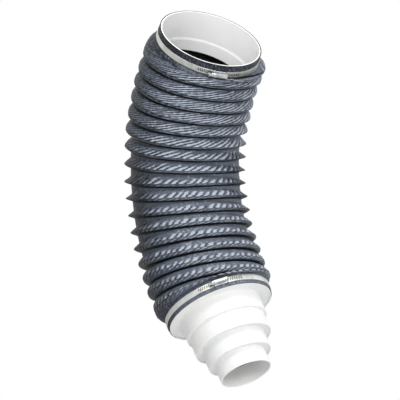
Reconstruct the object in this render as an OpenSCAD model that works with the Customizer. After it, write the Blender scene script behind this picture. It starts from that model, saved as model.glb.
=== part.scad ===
// Flexible connection hose: a wire-wound pleated hose with an inlet collar at its
// upper end, a stepped reducer at its lower end and a worm-drive clamp on each.
// Origin at the centre of the inlet mouth, +Z up, both mouths face towards +X.

/* [Hose] */
// Outside radius of the hose between its ridges
valley_r = 82.6; // [60:0.1:100]
// Height of the wire ridges
ridge_h = 10; // [6:0.1:14]
// Thickness of the hose skin
skin = 1; // [0.6:0.1:1.6]
// Number of pleats that flex between the two end fittings
pleats = 14; // [10:1:17]
// Turns of the helix above the highest flexing pleat's middle, over the collar
upper_end_turns = 2.63; // [2.5:0.01:2.7]
// Turns of the helix below the lowest flexing pleat's middle, over the spigot
lower_end_turns = 2.02; // [1.95:0.01:2.2]
// Diameter of the spring wire
wire_d = 2.2; // [1.5:0.1:3]

/* [Bend] */
// Radius of the hose's centre line
bend_r = 271.5; // [260:0.5:330]
// Angle through which the hose is bent
bend_angle = 67.1; // [60:0.1:70]
// Straight length from the bend to the inlet mouth
upper_straight = 73.8; // [70:0.1:80]
// Straight length from the bend to the reducer's end face
lower_straight = 62.1; // [60:0.1:70]
// Share of the bend that the wire turns take up at the middle of the hose
fan_share = 0.665; // [0.6:0.005:0.8]
// Distance from the middle at which the turns would stop fanning out
fan_reach = 391; // [350:1:600]

/* [Inlet collar] */
// How much less than the hose's bore the collar's outside radius is
collar_play = 3.6; // [3:0.1:6]
// Wall thickness of the collar
collar_wall = 2; // [1.5:0.1:4]
// Depth of the collar inside the hose
collar_depth = 67; // [60:0.5:70]
// Width of the stop shoulder in the collar's bore
stop_w = 1; // [1:0.1:4]
// Depth of the stop shoulder below the mouth
stop_depth = 45; // [30:0.5:50]
// Wall thickness of the collar's skirt, below the stop shoulder
skirt_wall = 1.5; // [1:0.1:2]
// Length of the outside taper from the shoulder down to the skirt
skirt_taper = 4; // [2:0.5:6]

/* [Reducer] */
// How much less than the hose's bore the clamp seat's radius is
seat_play = 0.1; // [0.1:0.1:2]
// Length of the clamp seat
seat_length = 15; // [12:0.5:15.5]
// How much less than the hose's bore the spigot's radius is
spigot_play = 4.1; // [4:0.1:8]
// Length of the reducer inside the hose
spigot_length = 56; // [40:0.5:58]
// Length of the taper from the spigot up to the clamp seat
lead_in = 8; // [4:0.5:12]
// Outside radius of the first step, next to the hose
step_1_r = 63.8; // [62.9:0.1:75]
// Outside radius of the second step
step_2_r = 60; // [52:0.1:61]
// Outside radius of the third step
step_3_r = 49.6; // [42:0.1:50]
// Outside radius of the fourth step, at the outlet
step_4_r = 40.1; // [25:0.1:40.2]
// Length of the first step
step_1_length = 27.6; // [15:0.1:60]
// Length of the second step
step_2_length = 28.1; // [15:0.1:60]
// Length of the third step
step_3_length = 27.2; // [15:0.1:60]
// Length of the fourth step
step_4_length = 25.6; // [15:0.1:60]
// Wall thickness of the reducer
reducer_wall = 2; // [1.5:0.1:3]
// Width of the raised lip round each step's end
lip_w = 1.6; // [1:0.1:1.8]
// Depth of the recess inside each lip but the first step's, whose end face is plain
lip_h = 2; // [1:0.1:3]

/* [Clamps] */
// Width of the clamp band
band_w = 9; // [7:0.5:12]
// Thickness of the clamp band
band_t = 0.8; // [0.5:0.1:1.2]
// Distance from the inlet mouth to the middle of the upper band
upper_band = 14; // [12:0.1:16]
// Distance from the reducer's end face to the middle of the lower band
lower_band = 10.6; // [9:0.1:11]
// Angle round the hose from +X to the middle of the upper screw housing
upper_housing_at = -19; // [-60:0.5:60]
// Angle round the hose from +X to the middle of the lower screw housing
lower_housing_at = -26.5; // [-60:0.5:60]
// Length of the screw housing
housing_l = 22; // [18:0.5:28]
// Diameter of the clamp screw's thread
screw_d = 7; // [5:0.1:8]
// Size of the screw's hexagonal head across its flats
head_af = 7; // [6:0.1:8]
// Length of the screw's head
head_l = 6.5; // [4:0.1:8]
// Angle that the band's free tail covers beyond the housing
tail_angle = 19; // [10:1:40]

/* [Clearances] */
// Gap between a soft piece and what it touches
soft_gap = 0.3; // [0.2:0.05:0.5]
// Running gap between the clamp screw and its housing
screw_gap = 0.1; // [0.05:0.05:0.3]

/* [Hidden] */
wire_turns = pleats - 1;
ridge_r = valley_r + ridge_h;
hose_bore_r = valley_r - skin;
collar_r = hose_bore_r - collar_play;
collar_bore_r = collar_r - collar_wall;
stop_bore_r = collar_bore_r - stop_w;
skirt_r = stop_bore_r + skirt_wall;
seat_r = hose_bore_r - seat_play;
spigot_r = hose_bore_r - spigot_play;
step_r = [step_1_r, step_2_r, step_3_r, step_4_r];
step_length = [step_1_length, step_2_length, step_3_length, step_4_length];
function two_digits(n) = n < 10 ? str("0", n) : str(n);
pleat_names = [for (n = [1:pleats]) str("pleat_", two_digits(n))];
wire_names = [for (n = [1:wire_turns]) str("wire_turn_", two_digits(n))];
step_names = [for (n = [1:4]) str("reducer_step_", n)];

// Faces of the round pieces, and steps of one turn of the hose
round_fn = 96;
turn_steps = 24;
// How much further out a turn's corners are where its flats have to clear a circle
corner_out = 1 / cos(180 / turn_steps);

hose_colour = [0.30, 0.35, 0.42];
plastic_colour = [0.93, 0.93, 0.93];
band_colour = [0.78, 0.80, 0.78];
wire_colour = [0.45, 0.46, 0.48];

// Centre line. A station is the distance along it from the middle of the bend, up is positive.
half_angle = bend_angle / 2;
half_arc = bend_r * half_angle * PI / 180;
inlet_station = half_arc + upper_straight;
reducer_station = -half_arc - lower_straight;
function bent(s) = max(-half_arc, min(half_arc, s));
function bend_at(s) = bent(s) / bend_r * 180 / PI;
function raw_centre(s) =
    let (a = bend_at(s), straight = s - bent(s))
    [bend_r * (1 - cos(a)) + straight * sin(a), bend_r * sin(a) + straight * cos(a)];
inlet_centre = raw_centre(inlet_station);
function centre(s) = raw_centre(s) - inlet_centre;

// The wire turns fan out less than the centre line, and turn square to it close to each clamp
band_margin = 1;
upper_cuff_station = inlet_station - upper_band - band_w / 2 - band_margin;
lower_cuff_station = reducer_station + lower_band + band_w / 2 + band_margin;
function ease(u) = let (v = max(0, min(1, u))) v * v * (3 - 2 * v);
upper_square_length = 20;
lower_square_length = 24;
function square_share(s) =
    s > 0 ? ease(1 + (s - upper_cuff_station) / upper_square_length)
          : ease(1 + (lower_cuff_station - s) / lower_square_length);
function fan_at(s) = fan_share * s / bend_r * 180 / PI * (1 - pow(s / fan_reach, 2));
function turn_tilt(s) =
    let (w = square_share(s)) (1 - w) * fan_at(s) + w * bend_at(s);
function hose_point(s, around, r) =
    let (c = centre(s), a = turn_tilt(s))
    [c[0] + r * cos(around) * cos(a), r * sin(around), c[1] - r * cos(around) * sin(a)];

// The wire is one left-handed helix. Every turn starts and ends at seam_at, on the hinge line.
seam_at = 90;
pitch = (upper_cuff_station - lower_cuff_station)
        / (pleats - 1 + upper_end_turns + lower_end_turns);
lowest_pleat = lower_cuff_station + lower_end_turns * pitch;
function pleat_station(n) = lowest_pleat + pitch * (pleats - n);
function crest(first, around) = first - pitch * (around - seam_at) / 360;
seam_gap = soft_gap / 2 / ridge_r * 180 / PI;
function turned(turns, gap) =
    let (steps = turns * turn_steps)
    [for (j = [0:steps]) seam_at + gap + (360 * turns - 2 * gap) * j / steps];
one_turn = turned(1, seam_gap);
one_wire_turn = turned(1, 2 * seam_gap);
two_wire_turns = turned(2, 2 * seam_gap);

// Section of a pleat: outer and inner rows of [station, radius] from one crest to the next
wire_clear = wire_d / 2 + soft_gap;
edge_r = ridge_r - wire_d / 4;
edge_inner_r = edge_r - 1.6 * skin;
flank = 0.25;
inner_flank = 0.2;
function pleat_rows(above, below) =
    let (w = above - below)
    [[[above - wire_clear, edge_r], [above - flank * w, valley_r],
      [below + flank * w, valley_r], [below + wire_clear, edge_r]],
     [[above - wire_clear, edge_inner_r], [above - inner_flank * w, hose_bore_r],
      [below + inner_flank * w, hose_bore_r], [below + wire_clear, edge_inner_r]]];

// One closed solid swept round the hose. Each section holds an outer and an inner row of
// points with as many in both, and the ends are closed between the two rows.
module swept_skin(angles, sections) {
    m = len(sections[0][0]);
    points = [for (j = [0:len(angles) - 1])
              each concat([for (q = sections[j][0]) hose_point(q[0], angles[j], q[1])],
                          [for (k = [m - 1:-1:0])
                           let (q = sections[j][1][k]) hose_point(q[0], angles[j], q[1])])];
    n = 2 * m;
    last = (len(angles) - 1) * n;
    sides = [for (j = [0:len(angles) - 2]) for (k = [0:n - 1])
             let (a = j * n + k, b = j * n + (k + 1) % n)
             each [[a, b, a + n], [b, b + n, a + n]]];
    start = [for (k = [0:m - 2]) let (a = k, b = k + 1, c = n - 2 - k, d = n - 1 - k)
             each [[a, c, b], [a, d, c]]];
    finish = [for (f = start) [last + f[0], last + f[2], last + f[1]]];
    polyhedron(points = points, faces = concat(sides, start, finish), convexity = 12);
}

// One closed length of wire along the crest line that starts at station first
wire_sides = 6;
module swept_wire(first, angles) {
    r = wire_d / 2;
    points = [for (a = angles) for (k = [0:wire_sides - 1])
              let (t = 360 * k / wire_sides)
              hose_point(crest(first, a) + r * sin(t), a, ridge_r - r + r * cos(t))];
    n = wire_sides;
    last = (len(angles) - 1) * n;
    sides = [for (j = [0:len(angles) - 2]) for (k = [0:n - 1])
             let (a = j * n + k, b = j * n + (k + 1) % n)
             each [[a, a + n, b], [b, a + n, b + n]]];
    start = [for (k = [1:n - 2]) [0, k, k + 1]];
    finish = [for (k = [1:n - 2]) [last, last + k + 1, last + k]];
    polyhedron(points = points, faces = concat(sides, start, finish), convexity = 12);
}

module helical_pleat(above) {
    swept_skin(one_turn,
               [for (a = one_turn) pleat_rows(crest(above, a), crest(above - pitch, a))]);
}

module pleat(n) {
    color(hose_colour) helical_pleat(pleat_station(n) + pitch);
}

module wire_turn(n) {
    color(wire_colour) swept_wire(pleat_station(n), one_wire_turn);
}

module upper_end_pleat() {
    color(hose_colour) helical_pleat(pleat_station(1) + 2 * pitch);
}

module upper_end_wire() {
    color(wire_colour) swept_wire(pleat_station(1) + 2 * pitch, two_wire_turns);
}

module lower_end_wire() {
    color(wire_colour) swept_wire(pleat_station(pleats), one_wire_turn);
}

// Rows of a run-out: from the cuff's edge over a fading ridge to the first wired crest.
// way is 1 at the upper end and -1 at the lower end.
ridge_margin = 3;
ridge_room = 0.7;
ridge_fit = 0.9;
function run_out_rows(edge, cuff, ridge, wired, height, way) =
    let (foot = wired + way * flank * pitch, inner_foot = wired + way * inner_flank * pitch,
         room = way * (edge - foot),
         peak = way * min(way * ridge, way * edge - ridge_margin, way * foot + room * ridge_room),
         half = min(flank * pitch, ridge_fit * way * (edge - peak), ridge_fit * way * (peak - foot)),
         top = valley_r + height)
    [[[edge, cuff * corner_out], [peak + way * half, valley_r], [peak, top],
      [peak - way * half, valley_r], [foot, valley_r], [wired + way * wire_clear, edge_r]],
     [[edge, (cuff - skin) * corner_out], [peak + way * half, hose_bore_r], [peak, top - skin],
      [peak - way * half, hose_bore_r], [inner_foot, hose_bore_r],
      [wired + way * wire_clear, edge_inner_r]]];
// Angles at which the upper ridge starts to rise and over which it rises, and the same
// for the lower ridge's fall
upper_ridge_from = 240;
upper_ridge_over = 130;
lower_ridge_until = 450;
lower_ridge_over = 60;

module upper_run_out() {
    edge = upper_cuff_station - soft_gap;
    first = pleat_station(1) + 2 * pitch;
    color(hose_colour)
    swept_skin(one_turn,
               [for (a = one_turn)
                run_out_rows(edge, upper_cuff_r, crest(first + pitch, a), crest(first, a),
                             ridge_h * ease((a - upper_ridge_from) / upper_ridge_over), 1)]);
}

module lower_run_out() {
    edge = lower_cuff_station + soft_gap;
    first = pleat_station(pleats);
    color(hose_colour)
    swept_skin(one_turn,
               [for (a = one_turn)
                let (height = ridge_h * ease((lower_ridge_until - a) / lower_ridge_over),
                     rows = run_out_rows(edge, lower_cuff_r, crest(first - pitch, a),
                                         crest(first, a), height, -1))
                [for (row = rows) [for (k = [len(row) - 1:-1:0]) row[k]]]]);
}

// Frames of the two ends: the origin at the mouth or end face, +Z out of the hose,
// and +X at angle 0 round the hose
module upper_frame() {
    rotate([0, half_angle, 0]) children();
}

module lower_frame() {
    c = centre(reducer_station);
    translate([c[0], 0, c[1]]) rotate([0, -half_angle, 0]) mirror([0, 0, 1]) children();
}

module tube(outer, inner, low, high) {
    difference() {
        translate([0, 0, low]) cylinder(r = outer, h = high - low, $fn = round_fn);
        translate([0, 0, low - 1]) cylinder(r = inner, h = high - low + 2, $fn = round_fn);
    }
}

upper_cuff_inner = collar_r + soft_gap;
upper_cuff_r = upper_cuff_inner + skin;
lower_cuff_inner = seat_r + soft_gap;
lower_cuff_r = lower_cuff_inner + skin;
cuff_setback = 1;

module upper_cuff() {
    color(hose_colour) upper_frame()
    tube(upper_cuff_r, upper_cuff_inner, upper_cuff_station - inlet_station, -cuff_setback);
}

module lower_cuff() {
    color(hose_colour) lower_frame()
    tube(lower_cuff_r, lower_cuff_inner, reducer_station - lower_cuff_station, -cuff_setback);
}

module inlet_collar() {
    rim = 0.8;
    skirt_from = stop_depth + collar_wall;
    color(plastic_colour) upper_frame()
    rotate_extrude($fn = round_fn)
    polygon([[collar_bore_r, 0], [collar_r - rim, 0], [collar_r, -rim],
             [collar_r, -skirt_from], [skirt_r, -skirt_from - skirt_taper],
             [skirt_r, -collar_depth], [stop_bore_r, -collar_depth],
             [stop_bore_r, -stop_depth], [collar_bore_r, -stop_depth]]);
}

// The reducer is one moulding. Its spigot and its four steps are separate nodes, and each step
// stands on the end face of the one before. The faces inside a lip are recessed.
step_end = [for (i = [0:3]) step_length[0] + (i > 0 ? step_length[1] : 0)
            + (i > 1 ? step_length[2] : 0) + (i > 2 ? step_length[3] : 0)];
function step_face(i) = step_end[i] - (i == 0 ? 0 : lip_h);
function step_bore(i) = step_r[i] - reducer_wall;

module reducer_spigot() {
    bore = spigot_r - reducer_wall;
    face = -lip_h;
    color(plastic_colour) lower_frame()
    rotate_extrude($fn = round_fn)
    polygon([[bore, -spigot_length], [spigot_r, -spigot_length], [spigot_r, -seat_length - lead_in],
             [seat_r, -seat_length], [seat_r, 0], [seat_r - lip_w, 0], [seat_r - lip_w, face],
             [step_bore(0), face], [step_bore(0), face - reducer_wall], [bore, face - reducer_wall]]);
}

// Step i from the hose, from 0. A lip stands round its end face where that face is recessed.
module reducer_step(i) {
    low = i == 0 ? -lip_h : step_face(i - 1);
    r = step_r[i];
    lip = i == 1 || i == 2 ? [[r - lip_w, step_end[i]], [r - lip_w, step_face(i)]] : [];
    head = i == 3 ? [[step_bore(i), step_end[i]]]
                  : [[step_bore(i + 1), step_face(i)], [step_bore(i + 1), step_face(i) - reducer_wall],
                     [step_bore(i), step_face(i) - reducer_wall]];
    color(plastic_colour) lower_frame()
    rotate_extrude($fn = round_fn)
    polygon(concat([[step_bore(i), low], [r, low], [r, step_end[i]]], lip, head));
}

// Clamp in an end's frame: the band's middle at height 0, the screw along the tangent
slot_pitch = 3.2;
slot_w = 1.2;
tail_gap = 0.15;
plate_t = 0.8;
thread_h = 0.7;
thread_pitch = 2;
function band_inner(cuff) = cuff + soft_gap;
function tail_inner(cuff) = band_inner(cuff) + band_t + tail_gap;
function screw_axis_r(cuff) = tail_inner(cuff) + band_t + tail_gap + screw_d / 2;

slot_slant = 30;
slot_share = 0.62;
rivet_d = 2;
rivet_back = 2;

module clamp_band(cuff) {
    inner = tail_inner(cuff);
    half = asin(housing_l / 2 / inner);
    covered = 2 * half + 2 * tail_angle;
    slots = floor(covered * PI / 180 * inner / slot_pitch) - 1;
    slot_step = slot_pitch / inner * 180 / PI;
    tube(band_inner(cuff) + band_t, band_inner(cuff), -band_w / 2, band_w / 2);
    difference() {
        rotate(-covered / 2)
        rotate_extrude(angle = covered, $fn = round_fn)
        translate([inner, -band_w / 2]) square([band_t, band_w]);
        for (i = [0:slots - 1])
            rotate((i - (slots - 1) / 2) * slot_step)
            translate([inner + band_t / 2, 0, 0]) rotate([slot_slant, 0, 0])
            cube([3 * band_t, slot_w, band_w * slot_share], center = true);
    }
    // Rivets that join the slotted tail to the plain band
    for (side = [-1, 1])
        rotate(covered / 2 - rivet_back)
        translate([band_inner(cuff) + band_t / 2, 0, side * band_w / 4])
        rotate([0, 90, 0]) cylinder(d = rivet_d, h = band_t + tail_gap, $fn = 24);
}

bridge_share = 0.9;

module clamp_housing(cuff) {
    axis = screw_axis_r(cuff);
    bore = screw_d / 2 + screw_gap;
    way = band_w + 2 * screw_gap;
    width = way + 2 * plate_t;
    foot = band_inner(cuff) * cos(asin(housing_l / 2 / band_inner(cuff)));
    bridge = axis - bore * bridge_share;
    difference() {
        union() {
            translate([axis, 0, 0]) rotate([90, 0, 0])
            cylinder(r = bore + plate_t, h = housing_l, center = true, $fn = 48);
            for (side = [-1, 1])
                translate([foot, -housing_l / 2, side * (width - plate_t) / 2 - plate_t / 2])
                cube([bridge + plate_t - foot, housing_l, plate_t]);
            translate([bridge, -housing_l / 2, -width / 2]) cube([plate_t, housing_l, width]);
        }
        translate([axis, 0, 0]) rotate([90, 0, 0])
        cylinder(r = bore, h = housing_l + 2, center = true, $fn = 48);
        // Way for the band under the screw
        translate([0, -housing_l / 2 - 1, -way / 2]) cube([bridge, housing_l + 2, way]);
        cylinder(r = band_inner(cuff), h = width * 2, center = true, $fn = round_fn);
    }
}

// Thread section along one pitch, as shares of it: foot, crest, crest and foot
thread_foot = 0.1;
thread_crest = 0.4;
washer_share = 1.15;
washer_t = 1;
slot_cut_w = 1.4;
slot_cut_depth = 1.4;

module clamp_screw(cuff) {
    axis = screw_axis_r(cuff);
    core = screw_d / 2 - thread_h;
    end_gap = 1;
    threads = floor((housing_l - 2 * end_gap) / thread_pitch);
    start = -housing_l / 2 + end_gap;
    neck = housing_l / 2 + end_gap / 2;
    translate([axis, 0, 0]) rotate([90, 0, 0]) {
        rotate_extrude($fn = 36)
        polygon(concat([[0, start], [core, start]],
                       [for (i = [0:threads - 1])
                        let (z = start + i * thread_pitch, foot = thread_foot * thread_pitch,
                             crest = thread_crest * thread_pitch)
                        each [[core, z + foot], [screw_d / 2, z + crest],
                              [screw_d / 2, z + thread_pitch - crest], [core, z + thread_pitch - foot]]],
                       [[core, neck], [0, neck]]));
        difference() {
            union() {
                translate([0, 0, neck - end_gap / 10]) cylinder(d = head_af * washer_share, h = washer_t, $fn = 36);
                translate([0, 0, neck + end_gap / 2]) cylinder(d = head_af / cos(30), h = head_l, $fn = 6);
            }
            translate([0, 0, neck + end_gap / 2 + head_l])
            cube([slot_cut_w, 2 * head_af, 2 * slot_cut_depth], center = true);
        }
    }
}

module on_upper_cuff() {
    upper_frame() translate([0, 0, -upper_band]) rotate(upper_housing_at) children();
}

module on_lower_cuff() {
    lower_frame() translate([0, 0, -lower_band]) rotate(lower_housing_at) children();
}

module upper_clamp_band() {
    color(band_colour) on_upper_cuff() clamp_band(upper_cuff_r);
}

module upper_clamp_housing() {
    color(band_colour) on_upper_cuff() clamp_housing(upper_cuff_r);
}

module upper_clamp_screw() {
    color(wire_colour) on_upper_cuff() clamp_screw(upper_cuff_r);
}

module lower_clamp_band() {
    color(band_colour) on_lower_cuff() clamp_band(lower_cuff_r);
}

module lower_clamp_housing() {
    color(band_colour) on_lower_cuff() clamp_housing(lower_cuff_r);
}

module lower_clamp_screw() {
    color(wire_colour) on_lower_cuff() clamp_screw(lower_cuff_r);
}

inlet_collar();
upper_cuff();
upper_run_out();
upper_end_pleat();
upper_end_wire();
upper_clamp_band();
upper_clamp_housing();
upper_clamp_screw();
for (n = [1:pleats]) pleat(n);
for (n = [1:wire_turns]) wire_turn(n);
lower_end_wire();
lower_run_out();
lower_cuff();
reducer_spigot();
for (i = [0:3]) reducer_step(i);
lower_clamp_band();
lower_clamp_housing();
lower_clamp_screw();
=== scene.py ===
import math

import bpy
import numpy as np
from mathutils import Matrix, Vector


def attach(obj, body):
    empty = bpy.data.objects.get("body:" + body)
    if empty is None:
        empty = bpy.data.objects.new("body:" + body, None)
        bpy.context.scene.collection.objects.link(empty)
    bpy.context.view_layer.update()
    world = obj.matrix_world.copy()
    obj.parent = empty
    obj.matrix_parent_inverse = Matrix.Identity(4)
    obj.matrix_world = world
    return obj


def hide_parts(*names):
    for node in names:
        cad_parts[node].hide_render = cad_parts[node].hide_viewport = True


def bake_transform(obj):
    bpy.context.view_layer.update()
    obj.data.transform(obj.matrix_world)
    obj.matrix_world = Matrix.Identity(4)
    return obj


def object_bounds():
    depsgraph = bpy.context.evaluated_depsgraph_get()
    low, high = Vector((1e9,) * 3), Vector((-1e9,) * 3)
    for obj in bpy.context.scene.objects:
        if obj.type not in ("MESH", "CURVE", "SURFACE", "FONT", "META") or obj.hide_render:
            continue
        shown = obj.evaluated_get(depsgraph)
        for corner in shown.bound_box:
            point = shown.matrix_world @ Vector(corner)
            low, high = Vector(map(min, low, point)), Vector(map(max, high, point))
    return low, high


# Flexible connection hose: a wire-wound pleated fabric hose with a moulded inlet collar
# at its upper end, a moulded stepped reducer at its lower end and a worm-drive clamp on
# each. Lengths here are in millimetres and angles in degrees unless a name says otherwise.
# A mesh is made in metres, in the frame of the CAD model.

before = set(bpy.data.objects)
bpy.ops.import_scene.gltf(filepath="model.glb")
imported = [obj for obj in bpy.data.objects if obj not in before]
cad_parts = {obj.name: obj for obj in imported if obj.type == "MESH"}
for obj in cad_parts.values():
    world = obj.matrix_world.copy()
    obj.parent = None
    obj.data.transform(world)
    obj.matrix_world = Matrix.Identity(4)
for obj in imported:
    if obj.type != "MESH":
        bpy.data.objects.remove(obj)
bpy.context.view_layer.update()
MM = 0.001

# ---------------------------------------------------------------- sizes of the CAD model
VALLEY_R, RIDGE_H, SKIN = 82.6, 10.0, 1.0
PLEATS, UPPER_END_TURNS, LOWER_END_TURNS = 14, 2.63, 2.02
BEND_R, BEND_ANGLE, UPPER_STRAIGHT, LOWER_STRAIGHT = 271.5, 67.1, 73.8, 62.1
FAN_SHARE, FAN_REACH = 0.665, 391.0
COLLAR_PLAY, COLLAR_WALL, COLLAR_DEPTH, STOP_W, STOP_DEPTH = 3.6, 2.0, 67.0, 1.0, 45.0
SKIRT_WALL, SKIRT_TAPER = 1.5, 4.0
SEAT_PLAY, SEAT_LENGTH, SPIGOT_PLAY, SPIGOT_LENGTH, LEAD_IN = 0.1, 15.0, 4.1, 56.0, 8.0
STEP_R, STEP_LENGTH = (63.8, 60.0, 49.6, 40.1), (27.6, 28.1, 27.2, 25.6)
REDUCER_WALL, LIP_W, LIP_H = 2.0, 1.6, 2.0
BAND_W, BAND_T, UPPER_BAND, LOWER_BAND, BAND_MARGIN = 9.0, 0.8, 14.0, 10.6, 1.0
UPPER_HOUSING_AT, LOWER_HOUSING_AT, HOUSING_L = -19.0, -26.5, 22.0
SCREW_D, HEAD_AF, HEAD_L, TAIL_ANGLE = 7.0, 7.0, 6.5, 19.0
SOFT_GAP, SCREW_GAP, TAIL_GAP, PLATE_T, THREAD_H, THREAD_PITCH = 0.3, 0.1, 0.15, 0.8, 0.7, 2.0
SLOT_PITCH, SLOT_W = 3.2, 1.2

HALF_ANGLE = math.radians(BEND_ANGLE / 2)
HALF_ARC = BEND_R * HALF_ANGLE
INLET_STATION = HALF_ARC + UPPER_STRAIGHT
REDUCER_STATION = -HALF_ARC - LOWER_STRAIGHT
UPPER_CUFF_STATION = INLET_STATION - UPPER_BAND - BAND_W / 2 - BAND_MARGIN
LOWER_CUFF_STATION = REDUCER_STATION + LOWER_BAND + BAND_W / 2 + BAND_MARGIN
HOSE_BORE_R = VALLEY_R - SKIN
COLLAR_R = HOSE_BORE_R - COLLAR_PLAY
SEAT_R = HOSE_BORE_R - SEAT_PLAY
SPIGOT_R = HOSE_BORE_R - SPIGOT_PLAY
UPPER_CUFF_R = COLLAR_R + SOFT_GAP + SKIN
LOWER_CUFF_R = SEAT_R + SOFT_GAP + SKIN
PITCH = (UPPER_CUFF_STATION - LOWER_CUFF_STATION) / (PLEATS - 1 + UPPER_END_TURNS + LOWER_END_TURNS)
LOWEST_PLEAT = LOWER_CUFF_STATION + LOWER_END_TURNS * PITCH


def pleat_station(n):
    return LOWEST_PLEAT + PITCH * (PLEATS - n)


def ease(u):
    """0 below 0, 1 above 1, and the smooth cubic 3u^2 - 2u^3 between."""
    v = np.clip(u, 0, 1)
    return v * v * (3 - 2 * v)


# ---------------------------------------------------------------- the hose's centre line
def raw_centre(s):
    """A straight, a circular arc and a straight in the XZ plane, by the distance s along them."""
    bent = np.clip(s, -HALF_ARC, HALF_ARC)
    a, e = bent / BEND_R, s - bent
    return np.stack([BEND_R * (1 - np.cos(a)) + e * np.sin(a), 0 * a,
                     BEND_R * np.sin(a) + e * np.cos(a)], -1)


INLET_CENTRE = raw_centre(np.array(INLET_STATION))


def centre(s):
    return raw_centre(np.asarray(s, float)) - INLET_CENTRE


def turn_tilt(s):
    """The wire turns fan out less than the centre line bends, and turn square to it next to
    each clamp. The result is in radians."""
    w = np.where(s > 0, ease(1 + (s - UPPER_CUFF_STATION) / 20),
                 ease(1 + (LOWER_CUFF_STATION - s) / 24))
    fan = FAN_SHARE * s / BEND_R * (1 - (s / FAN_REACH) ** 2)
    return (1 - w) * fan + w * np.clip(s, -HALF_ARC, HALF_ARC) / BEND_R


def hose_point(s, around, r):
    """The point at radius r and angle around (radians) on the tilted turn at station s."""
    c, a = centre(s), turn_tilt(s)
    return c + np.stack([r * np.cos(around) * np.cos(a), r * np.sin(around),
                         -r * np.cos(around) * np.sin(a)], -1)


# ---------------------------------------------------------------- meshes from grids
def unit(v):
    return v / np.maximum(np.linalg.norm(v, axis=-1, keepdims=True), 1e-12)


def grid_faces(rows, columns, round_columns, round_rows=False, first=0):
    """Quads (with their corner row and column numbers, unwrapped) of a grid of points."""
    i, j = np.meshgrid(np.arange(rows - (not round_rows)),
                       np.arange(columns - (not round_columns)), indexing="ij")
    i, j = i.ravel(), j.ravel()
    ii, jj = np.stack([i, i, i + 1, i + 1], 1), np.stack([j, j + 1, j + 1, j], 1)
    return first + (ii % rows) * columns + jj % columns, ii, jj


def flat(values):
    return values.astype(np.float32).ravel()


def build(name, points, faces, normals=None, loop_uv=None, marks=None):
    """One mesh object from arrays: points in millimetres, faces as a list of index arrays that
    have three or four columns, corner UVs in the same order, and point attributes."""
    mesh = bpy.data.meshes.new(name)
    loops = np.concatenate([f.ravel() for f in faces]).astype(np.int32)
    sizes = np.concatenate([np.full(len(f), f.shape[1]) for f in faces])
    mesh.vertices.add(len(points))
    mesh.vertices.foreach_set("co", flat(points * MM))
    mesh.loops.add(len(loops))
    mesh.loops.foreach_set("vertex_index", loops)
    mesh.polygons.add(len(sizes))
    starts = np.concatenate([[0], np.cumsum(sizes)[:-1]]).astype(np.int32)
    mesh.polygons.foreach_set("loop_start", starts)
    mesh.update(calc_edges=True)
    mesh.polygons.foreach_set("use_smooth", np.ones(len(sizes), bool))
    if loop_uv is not None:
        layer = mesh.uv_layers.new(name="surface")
        layer.data.foreach_set("uv", flat(np.concatenate([u.reshape(-1, 2) for u in loop_uv])))
    for mark, values in (marks or {}).items():
        mesh.attributes.new(mark, "FLOAT", "POINT").data.foreach_set("value", flat(values))
    if normals is not None:
        mesh.normals_split_custom_set_from_vertices(normals.reshape(-1, 3))
    piece = bpy.data.objects.new(name, mesh)
    bpy.context.scene.collection.objects.link(piece)
    return piece


# ---------------------------------------------------------------- shader maths
class Signal:
    """A shader socket on which the arithmetic operators add the Math nodes that do them."""

    def __init__(self, finish, socket):
        self.finish, self.socket = finish, socket

    def _math(self, operation, *values):
        return self.finish.node("ShaderNodeMath", {"operation": operation}, dict(enumerate(values)))

    def __add__(self, other):
        return self._math("ADD", self, other)

    __radd__ = __add__

    def __sub__(self, other):
        return self._math("SUBTRACT", self, other)

    def __rsub__(self, other):
        return self._math("SUBTRACT", other, self)

    def __mul__(self, other):
        return self._math("MULTIPLY", self, other)

    __rmul__ = __mul__

    def sine(self):
        return self._math("SINE", self)

    def above(self, edge, width):
        """0 below the edge and 1 above it, smoothly over the width."""
        return self.finish.node("ShaderNodeMapRange", {"interpolation_type": "SMOOTHSTEP"},
                                {"Value": self, "From Min": edge - width / 2, "From Max": edge + width / 2})


def linear(*srgb):
    """An sRGB colour of three numbers from 0 to 255 as a linear RGBA colour."""
    c = np.array(srgb, float) / 255
    c = np.where(c <= 0.04045, c / 12.92, ((c + 0.055) / 1.055) ** 2.4)
    return (float(c[0]), float(c[1]), float(c[2]), 1.0)


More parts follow.
